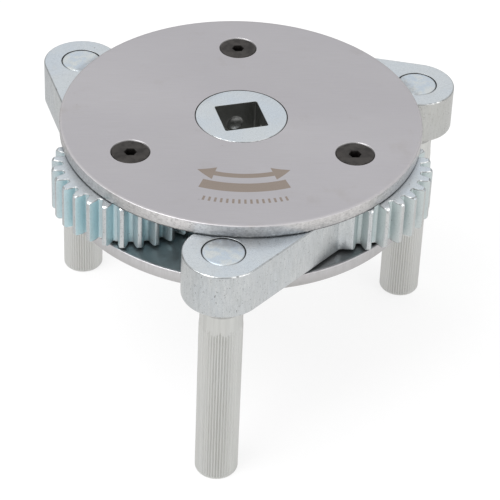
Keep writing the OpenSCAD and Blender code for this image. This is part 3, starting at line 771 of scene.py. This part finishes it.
def mat_zinc(name):
    n = Nodes(name)
    cloud = n.noise(n.mapping((0.06, 0.06, 0.06)), 1.0, 4.0, 0.55, 0.4)
    patch = n.noise(n.mapping((0.25, 0.25, 0.12)), 1.0, 4.0, 0.6, 0.8)
    grain = n.noise(n.mapping((3.5, 3.5, 3.5)), 1.0, 3.0, 0.65)
    streak = n.noise(n.mapping((1.6, 1.6, 0.06)), 1.0, 4.0, 0.6)
    bands = n.noise(n.mapping((0.16, 0.16, 0.02)), 1.0, 2.0, 0.5)
    deep, edge, face = n.attr("deep"), n.attr("edge"), n.attr("face")
    base = n.mix(n.ramp(cloud, 0.36, 0.64), (0.590, 0.650, 0.710), (0.625, 0.668, 0.700))
    base = n.mix(n.ramp(patch, 0.52, 0.78, 0.0, 0.35), base, (0.61, 0.615, 0.60))
    side = n.ramp(n.normal_z(), 0.2, 0.7, 1.0, 0.0)
    # the sides: darker drawing streaks, lighter vertical bands, and a duller, darker grey than the tops as painted
    # shade
    base = n.mix(n.math("MULTIPLY", side, n.ramp(streak, 0.3, 0.7, 0.0, 0.30)), base, (0.48, 0.49, 0.485))
    base = n.mix(n.math("MULTIPLY", side, n.ramp(bands, 0.42, 0.62, 0.0, 0.4)), base, (0.66, 0.675, 0.68))
    base = n.mix(n.math("MULTIPLY", side, 0.5), base, (0.55, 0.557, 0.545))
    place = n.t.nodes.new("ShaderNodeSeparateXYZ")
    n.link(n.mapping((1.0, 1.0, 0.0)), place.inputs[0])
    away = n.math("SQRT", n.math("ADD", n.math("MULTIPLY", place.outputs[0], place.outputs[0]), n.math("MULTIPLY", place.outputs[1], place.outputs[1])))
    toothed = n.math("MULTIPLY", side, n.ramp(away, 23.0, 26.0, 0.85, 0.0))
    base = n.mix(n.math("MULTIPLY", toothed, n.math("SUBTRACT", 1.0, deep)), base, (0.74, 0.745, 0.74))
    # painted light in the tooth gaps: flanks facing +X take a teal painted shade, flanks facing -X a paler painted
    # reflection, both greyer on the right of the tool
    painted_flank_mask = n.ramp(n.normal_x(), -0.5, 0.4)
    spot = n.t.nodes.new("ShaderNodeNewGeometry")
    where = n.t.nodes.new("ShaderNodeSeparateXYZ")
    n.link(spot.outputs["Position"], where.inputs[0])
    painted_flank_colour = n.mix(painted_flank_mask, (0.62, 0.72, 0.75), (0.52, 0.78, 0.84))
    painted_flank_colour = n.mix(n.ramp(where.outputs[0], -0.005, 0.03, 0.0, 0.75), painted_flank_colour, (0.68, 0.72, 0.705))
    base = n.mix(n.math("MULTIPLY", deep, 0.85), base, painted_flank_colour)
    # the corners are darkened, pitted dark in patches, and carry painted highlights: in patches where they face -Y, and
    # along the lower edges that face -Y
    wear_and_glint = n.noise(n.mapping((0.55, 0.55, 0.55)), 1.0, 4.0, 0.7)
    nx, ny = n.normal_x(), n.normal(1)
    flat = n.math("SQRT", n.math("ADD", n.math("MULTIPLY", nx, nx), n.math("MULTIPLY", ny, ny)))
    toward = n.math("DIVIDE", n.math("MULTIPLY", ny, -1.0), n.math("MAXIMUM", flat, 0.05))
    # painted highlight mask: edges that face -Y
    painted_glint_mask = n.math("MULTIPLY", n.ramp(toward, 0.74, 0.88, 0.08, 1.0), n.ramp(toward, 0.975, 0.992, 1.0, 0.1))
    base = n.mix(n.math("MULTIPLY", edge, 0.85), base, (0.33, 0.345, 0.35))
    base = n.mix(n.math("MULTIPLY", n.math("MULTIPLY", edge, painted_glint_mask), n.ramp(wear_and_glint, 0.42, 0.52, 0.0, 0.95)), base, (0.90, 0.91, 0.91))
    base = n.mix(n.math("MULTIPLY", edge, n.ramp(wear_and_glint, 0.34, 0.44, 0.85, 0.0)), base, (0.17, 0.17, 0.165))
    # painted highlight along the lower edges that face -Y
    under = n.ramp(n.normal_z(), -0.7, -0.15, 1.0, 0.0)
    base = n.mix(n.math("MULTIPLY", n.math("MULTIPLY", edge, under), n.ramp(toward, 0.5, 0.8)), base, (0.88, 0.885, 0.89))
    sand = n.noise(n.mapping((2.2, 2.2, 2.2)), 1.0, 4.0, 0.75)
    rougher = n.math("SUBTRACT", 0.75, n.math("MULTIPLY", side, 0.2))
    base = n.mix(n.math("MULTIPLY", rougher, n.ramp(sand, 0.50, 0.66, 0.0, 0.40)), base, (0.36, 0.38, 0.385))
    base = n.mix(n.math("MULTIPLY", rougher, n.ramp(sand, 0.34, 0.48, 0.40, 0.0)), base, (0.76, 0.78, 0.785))
    plain = n.math("MULTIPLY", side, n.math("SUBTRACT", 1.0, deep))
    drawn = n.noise(n.mapping((1.5, 1.5, 0.22), loc=(1.0, 6.0, 3.0)), 1.0, 4.0, 0.65)
    base = n.mix(n.math("MULTIPLY", plain, n.ramp(drawn, 0.52, 0.68, 0.0, 0.35)), base, (0.74, 0.75, 0.74))
    base = n.mix(n.math("MULTIPLY", plain, n.ramp(drawn, 0.34, 0.48, 0.35, 0.0)), base, (0.40, 0.42, 0.41))
    pits = n.noise(n.mapping((1.7, 1.7, 1.1), loc=(4.0, 1.0, 2.0)), 1.0, 5.0, 0.8)
    base = n.mix(n.math("MULTIPLY", plain, n.ramp(pits, 0.595, 0.645, 0.0, 0.85)), base, (0.17, 0.17, 0.165))
    # painted reflection: plain sides facing +X are a little lighter
    base = n.mix(n.math("MULTIPLY", plain, n.ramp(nx, 0.1, 0.6, 0.0, 0.12)), base, (0.78, 0.79, 0.80))
    base = n.mix(n.math("MULTIPLY", plain, n.ramp(where.outputs[0], 0.035, 0.055, 0.0, 0.42)), base, (0.52, 0.495, 0.44))
    cells = n.voronoi(n.mapping((0.42, 0.42, 0.42)), 1.0)
    gate = n.noise(n.mapping((0.3, 0.3, 0.3)), 1.0, 2.0)
    speck = n.math("MULTIPLY", n.ramp(cells[0], 0.06, 0.13, 1.0, 0.0), n.ramp(gate, 0.5, 0.62))
    base = n.mix(n.math("MULTIPLY", speck, 0.55), base, (0.20, 0.20, 0.19))
    # painted shade on the square socket's walls, lighter in the ball dimples
    base = n.mix(n.math("MULTIPLY", face, 0.95), base, (0.195, 0.20, 0.19))
    # painted shade in the narrow rings at the hub's top and in the mouths of the arms' holes
    base = n.mix(n.attr("gap"), base, (0.06, 0.06, 0.06))
    rough = n.ramp(grain, 0.25, 0.75, 0.24, 0.38)
    rough = n.math("ADD", rough, n.math("MULTIPLY", n.ramp(patch, 0.4, 0.7), 0.08))
    rough = n.math("ADD", rough, n.math("MULTIPLY", deep, 0.16))
    rough = n.math("ADD", rough, n.math("MULTIPLY", face, 0.10))
    n.set(Metallic=n.math("SUBTRACT", 1.0, n.math("MULTIPLY", deep, 0.35)), Base_Color=base, Roughness=rough)
    h = n.math("ADD", n.math("MULTIPLY", grain, 0.6), n.math("MULTIPLY", streak, 0.6))
    b = n.bump(h, 0.16, 0.00012)
    b = n.bump(patch, 0.25, 0.0002, b)
    n.put(n.bsdf.inputs["Normal"], b)
    return n.m


def mat_leg(name):
    n = Nodes(name)
    streak = n.noise(n.mapping((1.3, 1.3, 0.03)), 1.0, 4.0, 0.6)
    cloud = n.noise(n.mapping((0.12, 0.12, 0.05)), 1.0, 3.0, 0.5)
    grain = n.noise(n.mapping((4.0, 4.0, 1.2)), 1.0, 3.0, 0.6)
    pin = n.attr("pin")
    base = n.mix(n.ramp(streak, 0.32, 0.68), (0.605, 0.607, 0.585), (0.68, 0.682, 0.66))
    base = n.mix(n.ramp(cloud, 0.4, 0.7, 0.0, 0.4), base, (0.64, 0.65, 0.64))
    # painted light: the knurl grooves are lighter than the crests, against their shade
    base = n.mix(n.math("MULTIPLY", n.attr("knurl"), 0.28), base, (0.80, 0.80, 0.78))
    base = n.mix(n.math("MULTIPLY", n.attr("edge"), 0.5), base, (0.75, 0.74, 0.72))
    blotch = n.noise(n.mapping((0.3, 0.3, 0.3), loc=(0.4, 2.2, 5.0)), 1.0, 4.0, 0.6)
    plated = n.mix(n.ramp(blotch, 0.38, 0.62), (0.58, 0.665, 0.755), (0.715, 0.75, 0.75))
    plated = n.mix(n.ramp(grain, 0.35, 0.65, 0.0, 0.55), plated, (0.50, 0.54, 0.57))
    # painted reflection of the plate's rim: the part of each pin top near the rim is darker and streaked
    spot = n.t.nodes.new("ShaderNodeNewGeometry")
    flat = n.t.nodes.new("ShaderNodeVectorMath")
    flat.operation = "MULTIPLY"
    flat.inputs[1].default_value = (1.0, 1.0, 0.0)
    n.link(spot.outputs["Position"], flat.inputs[0])
    reach = n.t.nodes.new("ShaderNodeVectorMath")
    reach.operation = "LENGTH"
    n.link(flat.outputs[0], reach.inputs[0])
    comb = n.noise(n.mapping((0.9, 0.9, 0.1), loc=(2.0, 1.0, 0.0)), 1.0, 3.0, 0.6)
    plated = n.mix(n.math("MULTIPLY", n.ramp(reach.outputs["Value"], 0.0565, 0.0585, 0.75, 0.0), n.ramp(comb, 0.35, 0.6, 0.35, 1.0)), plated, (0.40, 0.425, 0.45))
    depth = n.t.nodes.new("ShaderNodeSeparateXYZ")
    n.link(spot.outputs["Position"], depth.inputs[0])
    # painted light: the legs towards the back (+Y) are lighter
    base = n.mix(n.ramp(depth.outputs[1], -0.03, 0.02, 0.0, 0.35), base, (0.80, 0.80, 0.78))
    # the arm's shadow on the top of the neck
    shade = n.math("MULTIPLY", n.ramp(depth.outputs[2], -0.0227, -0.0222), n.ramp(comb, 0.3, 0.6, 0.3, 0.55))
    base = n.mix(shade, base, (0.20, 0.20, 0.20))
    base = n.mix(pin, base, plated)
    # painted shade in the ring round each pin top, lifted where the ring faces -Y
    lit = n.ramp(n.math("MULTIPLY", n.normal(1), -1.0), 0.48, 0.66, 1.0, 0.3)
    base = n.mix(n.math("MULTIPLY", n.attr("gap"), lit), base, (0.06, 0.06, 0.06))
    n.set(Metallic=1.0, Base_Color=base, Roughness=n.ramp(grain, 0.25, 0.75, 0.30, 0.46))
    n.put(n.bsdf.inputs["Normal"], n.bump(grain, 0.2, 0.0001))
    return n.m


def mat_black(name):
    n = Nodes(name)
    grain = n.noise(n.mapping((4.0, 4.0, 4.0)), 1.0, 3.0, 0.6)
    cloud = n.noise(n.mapping((0.4, 0.4, 0.4)), 1.0, 3.0, 0.5)
    base = n.mix(n.ramp(cloud, 0.35, 0.65), (0.023, 0.0205, 0.020), (0.031, 0.028, 0.027))
    # painted shade: the hex socket's walls and the shank are darker than the head
    base = n.mix(n.math("SUBTRACT", 1.0, n.attr("head"), clamp=True), base, (0.016, 0.014, 0.013))
    base = n.mix(n.math("MULTIPLY", n.attr("edge"), n.ramp(cloud, 0.3, 0.6, 0.1, 0.5)), base, (0.13, 0.12, 0.11))
    n.set(Metallic=0.75, Base_Color=base, Roughness=n.ramp(grain, 0.25, 0.75, 0.36, 0.52))
    n.put(n.bsdf.inputs["Normal"], n.bump(grain, 0.22, 0.0001))
    return n.m


def mat_turned(name):
    n = Nodes(name)
    ring = n.noise(n.mapping((0.3, 0.3, 6.0)), 1.0, 3.0, 0.6)
    grain = n.noise(n.mapping((3.0, 3.0, 3.0)), 1.0, 3.0, 0.6)
    base = n.mix(n.ramp(ring, 0.3, 0.7), (0.38, 0.38, 0.385), (0.47, 0.47, 0.475))
    n.set(Metallic=1.0, Base_Color=base, Roughness=n.ramp(grain, 0.25, 0.75, 0.28, 0.42))
    n.put(n.bsdf.inputs["Normal"], n.bump(ring, 0.15, 0.0001))
    return n.m


M_TOP = mat_plate("plate_steel", True)
M_PLATE = mat_plate("plate_steel_plain")
M_ZINC = mat_zinc("zinc_gear")
M_LEG = mat_leg("leg_steel")
M_BLACK = mat_black("black_screw")
M_TURNED = mat_turned("turned_steel")


# ---------------------------------------------------------------- pieces

def dress(ob, material, body, slot, *nodes):
    ob.data.materials.clear()
    ob.data.materials.append(material)
    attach(ob, body)
    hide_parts(*nodes)
    return ob


dress(plate_shell("upper_plate", PLATE_LO, PLATE_HI, True), M_TOP, "frame", "plate_steel", "top_plate")
dress(plate_shell("lower_plate", BASE_LO, BASE_HI, False), M_PLATE, "frame", "plate_steel", "bottom_plate")
dress(drive_shell("sun_gear"), M_ZINC, "drive", "zinc_gear", "drive_gear")
for st in STATIONS:
    dress(arm_shell("geared_arm_" + st, st), M_ZINC, "arm_" + st, "zinc_gear", "arm_" + st)
    dress(leg_shell("knurled_leg_" + st, st), M_LEG, "arm_" + st, "leg_steel", "leg_" + st)
    dress(screw_shell("socket_screw_top_" + st, st, True), M_BLACK, "frame", "black_screw", "top_screw_" + st)
    dress(screw_shell("socket_screw_bottom_" + st, st, False), M_BLACK, "frame", "black_screw", "bottom_screw_" + st)

for node, ob in frame["nodes"].items():
    if not ob.hide_render:
        ob.data.materials.clear()
        ob.data.materials.append(M_TURNED)


# ---------------------------------------------------------------- stage

scene = bpy.context.scene
floor_mesh = bpy.data.meshes.new("floor")
h, z0 = 6.0, LEG_LO * MM
floor_mesh.from_pydata([(-h, -h, z0), (h, -h, z0), (h, h, z0), (-h, h, z0)], [], [(0, 1, 2, 3)])
floor = bpy.data.objects.new("floor", floor_mesh)
scene.collection.objects.link(floor)
fm = bpy.data.materials.new("floor")
fm.use_nodes = True
ft = fm.node_tree
ft.nodes.clear()


def fnode(kind, **inputs):
    n = ft.nodes.new(kind)
    for k, v in inputs.items():
        sock = n.inputs[k.replace("_", " ")]
        if isinstance(v, bpy.types.NodeSocket):
            ft.links.new(v, sock)
        else:
            sock.default_value = v
    return n


# The camera sees a nearly white sweep; the tool's steel sees a softly lit grey table that darkens away from the camera.
place = fnode("ShaderNodeNewGeometry")
axes = fnode("ShaderNodeSeparateXYZ", Vector=place.outputs["Position"])
fade = fnode("ShaderNodeMapRange", Value=axes.outputs["Y"])
fade.interpolation_type = "SMOOTHSTEP"
fade.inputs["From Min"].default_value, fade.inputs["From Max"].default_value = -0.16, 0.12
fade.inputs["To Min"].default_value, fade.inputs["To Max"].default_value = 0.59, 0.48
wing = fnode("ShaderNodeMapRange", Value=axes.outputs["X"])
wing.interpolation_type = "SMOOTHSTEP"
for k, v in zip(("From Min", "From Max", "To Min", "To Max"), (-0.17, -0.075, 0.70, 1.0)):
    wing.inputs[k].default_value = v
level = fnode("ShaderNodeMath")
level.operation = "MULTIPLY"
ft.links.new(fade.outputs[0], level.inputs[0])
ft.links.new(wing.outputs[0], level.inputs[1])
mat = fnode("ShaderNodeBsdfDiffuse", Color=(0.27, 0.27, 0.27, 1))
light = fnode("ShaderNodeEmission", Color=(1, 1, 1, 1), Strength=level.outputs[0])
table = fnode("ShaderNodeAddShader")
ft.links.new(mat.outputs[0], table.inputs[0])
ft.links.new(light.outputs[0], table.inputs[1])
pale = fnode("ShaderNodeBsdfDiffuse", Color=(0.24, 0.24, 0.24, 1))
glow = fnode("ShaderNodeEmission", Color=(1, 1, 1, 1), Strength=0.77)
sweep = fnode("ShaderNodeAddShader")
ft.links.new(pale.outputs[0], sweep.inputs[0])
ft.links.new(glow.outputs[0], sweep.inputs[1])
path = fnode("ShaderNodeLightPath")
pick = fnode("ShaderNodeMixShader", Fac=path.outputs["Is Camera Ray"])
ft.links.new(table.outputs[0], pick.inputs[1])
ft.links.new(sweep.outputs[0], pick.inputs[2])
fout = fnode("ShaderNodeOutputMaterial")
ft.links.new(pick.outputs[0], fout.inputs["Surface"])
fm.cycles.emission_sampling = "NONE"
floor_mesh.materials.append(fm)

world = bpy.data.worlds.new("studio")
scene.world = world
world.use_nodes = True
wn = world.node_tree
bg = wn.nodes["Background"]
bg.inputs["Color"].default_value = (1.0, 1.0, 1.0, 1)
sky = wn.nodes.new("ShaderNodeTexCoord")
height = wn.nodes.new("ShaderNodeSeparateXYZ")
wn.links.new(sky.outputs["Generated"], height.inputs[0])
lift = wn.nodes.new("ShaderNodeMapRange")
lift.interpolation_type = "SMOOTHSTEP"
for k, v in zip(("From Min", "From Max", "To Min", "To Max"), (0.05, 0.60, 0.55, 0.95)):
    lift.inputs[k].default_value = v
wn.links.new(height.outputs["Z"], lift.inputs["Value"])


def wmath(op, a, b):
    n = wn.nodes.new("ShaderNodeMath")
    n.operation = op
    for sock, v in zip(n.inputs, (a, b)):
        if isinstance(v, bpy.types.NodeSocket):
            wn.links.new(v, sock)
        else:
            sock.default_value = v
    return n.outputs[0]


def wramp(v, lo, hi, a, b):
    n = wn.nodes.new("ShaderNodeMapRange")
    n.interpolation_type = "SMOOTHSTEP"
    wn.links.new(v, n.inputs["Value"])
    for k, x in zip(("From Min", "From Max", "To Min", "To Max"), (lo, hi, a, b)):
        n.inputs[k].default_value = x
    return n.outputs[0]


# The room is dark round the camera, with a soft box to each side of it.
aim = wn.nodes.new("ShaderNodeVectorMath")
aim.operation = "DOT_PRODUCT"
aim.inputs[1].default_value = (-0.033, -0.823, 0.567)
wn.links.new(sky.outputs["Generated"], aim.inputs[0])
near = aim.outputs["Value"]
beside = wramp(wmath("ABSOLUTE", height.outputs["X"], 0.0), 0.15, 0.30, 0.0, 1.0)
boxes = wmath("MULTIPLY", wmath("MULTIPLY", wramp(near, 0.66, 0.78, 0.0, 0.2), wramp(near, 0.94, 0.975, 1.0, 0.0)), beside)
glow_level = wmath("MULTIPLY", lift.outputs[0], wmath("MULTIPLY", wramp(near, 0.94, 0.975, 1.0, 0.15), wmath("ADD", boxes, 1.0)))
seen = wn.nodes.new("ShaderNodeLightPath")
plain_wall = wmath("MULTIPLY", seen.outputs["Is Camera Ray"], 0.985)
lit_wall = wmath("MULTIPLY", wmath("SUBTRACT", 1.0, seen.outputs["Is Camera Ray"]), glow_level)
wn.links.new(wmath("ADD", plain_wall, lit_wall), bg.inputs["Strength"])


def area(name, loc, size, power, target=(0, 0, -0.03), colour=(1, 1, 1), size_y=None):
    l = bpy.data.lights.new(name, "AREA")
    l.shape = "RECTANGLE"
    l.size, l.size_y = size, size_y or size
    l.energy = power
    l.color = colour
    o = bpy.data.objects.new(name, l)
    o.location = loc
    d = Vector(target) - Vector(loc)
    o.rotation_euler = d.to_track_quat("-Z", "Y").to_euler()
    scene.collection.objects.link(o)
    return o


area("key", (-0.5, -0.3, 0.9), 0.7, 6.0)
area("fill", (0.8, -0.5, 0.5), 0.6, 2.0)

cam_data = bpy.data.cameras.new("camera")
cam_data.sensor_width = 36.0
cam_data.lens = 150.22160
cam_data.shift_x, cam_data.shift_y = -0.00324700, -0.46376898
cam = bpy.data.objects.new("camera", cam_data)
scene.collection.objects.link(cam)
right = Vector((0.99890464, -0.03133746, 0.03474882))
up = Vector((-0.01312827, 0.52509893, 0.85093993))
back = -Vector((0.04491287, 0.85046404, -0.52411235))
rot = Matrix((right, up, back)).transposed()
cam.matrix_world = Matrix.Translation((-0.02475232, -0.50377726, 0.34405105)) @ rot.to_4x4()
cam_data.clip_start, cam_data.clip_end = 0.01, 50
scene.camera = cam

# The lens shift belongs to this one viewpoint: a camera at any other height has none, so that it looks straight at the object.
curve = cam_data.driver_add("shift_y")
curve.driver.type = "AVERAGE"
seat = curve.driver.variables.new()
seat.type = "TRANSFORMS"
seat.targets[0].id = cam
seat.targets[0].transform_type = "LOC_Z"
seat.targets[0].transform_space = "WORLD_SPACE"
for extra in list(curve.modifiers):
    curve.modifiers.remove(extra)
near_by = 0.002
steep = math.sqrt(0.46376898) / near_by
dip = curve.modifiers.new("GENERATOR")
dip.mode = "POLYNOMIAL_FACTORISED"
dip.poly_order = 2
dip.coefficients = (steep, -steep * (0.34405105 - near_by), steep, -steep * (0.34405105 + near_by))
cap = curve.modifiers.new("LIMITS")
cap.use_max_y = True
cap.max_y = 0.0
scene.view_settings.view_transform = "Standard"
scene.view_settings.look = "None"
scene.view_settings.exposure = 0.0

bpy.context.view_layer.update()
